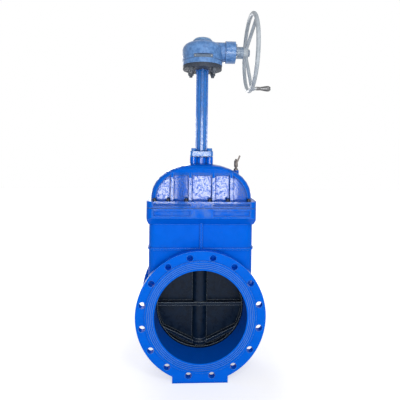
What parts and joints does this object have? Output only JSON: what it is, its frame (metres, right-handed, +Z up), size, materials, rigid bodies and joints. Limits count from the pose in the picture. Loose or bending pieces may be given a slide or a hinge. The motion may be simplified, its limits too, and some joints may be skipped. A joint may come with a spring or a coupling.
{
  "type": "bolted bonnet gate valve",
  "caption": "Flanged resilient-seated gate valve with a domed bolted bonnet, extension column, bevel gearbox and side handwheel with a crank grip.",
  "frame": {"origin": "centre of the front pipe flange's bolting face, on the bore axis", "axes": "+Y downstream through the bore, +Z up along the stem, +X towards the handwheel"},
  "size_m": [0.5998, 0.376, 1.6555],
  "materials": {
    "body_epoxy": "glossy blue fusion-bonded epoxy over ductile iron",
    "column_epoxy": "glossy blue epoxy over steel",
    "flange_primer": "dark grey primer, dusty",
    "gearbox_paint": "semi-gloss steel-blue paint over cast iron",
    "wheel_paint": "thin grey-blue paint over cast iron",
    "wedge_rubber": "black vulcanised rubber coat over a ductile iron casting",
    "gasket_rubber": "black sheet rubber",
    "stem_brass": "machined brass",
    "stem_steel": "machined stainless steel",
    "plate_steel": "dull blank steel plate",
    "fastener_steel": "zinc-plated steel, dulled",
    "grip_steel": "dark turned steel",
    "cock_metal": "dull nickel-plated brass"
  },
  "bodies": {
    "valve": {"valve_body": "body_epoxy", "bonnet_gasket": "gasket_rubber", "bonnet": "body_epoxy", "stem": "stem_steel", "neck_gasket": "gasket_rubber", "column_base": "column_epoxy", "extension_column": "column_epoxy", "column_top_flange": "flange_primer", "gearbox_base": "gearbox_paint", "gearbox_housing": "gearbox_paint", "gearbox_cap": "gearbox_paint", "pinion_collar": "gearbox_paint", "pinion_sleeve": "gearbox_paint", "blank_nameplate": "plate_steel", "air_cock_nipple": "cock_metal", "air_cock_body": "cock_metal"},
    "wedge": {"gate_wedge": "wedge_rubber", "stem_nut": "stem_brass"},
    "wheel": {"input_shaft": "stem_steel", "handwheel": "wheel_paint", "wheel_nut": "fastener_steel", "crank_pin": "fastener_steel"},
    "grip": {"crank_grip": "grip_steel"},
    "cock_lever": {"air_cock_lever": "cock_metal"}
  },
  "joints": [
    {"name": "gate_lift", "type": "slide", "parent": "valve", "child": "wedge", "axis": [0, 0, 1], "range_m": [0, 0.402]},
    {"name": "handwheel_turn", "type": "hinge", "parent": "valve", "child": "wheel", "pos_m": [0.203, 0.151, 1.1825], "axis": [1, 0, 0], "continuous": true},
    {"name": "grip_spin", "type": "hinge", "parent": "wheel", "child": "grip", "pos_m": [0.2831, 0.11389, 1.0079], "axis": [1, 0, 0], "continuous": true},
    {"name": "cock_lever_turn", "type": "hinge", "parent": "valve", "child": "cock_lever", "pos_m": [0.166, 0.1365, 0.655], "axis": [0, 1, 0], "range_deg": [-22, 68]}
  ]
}
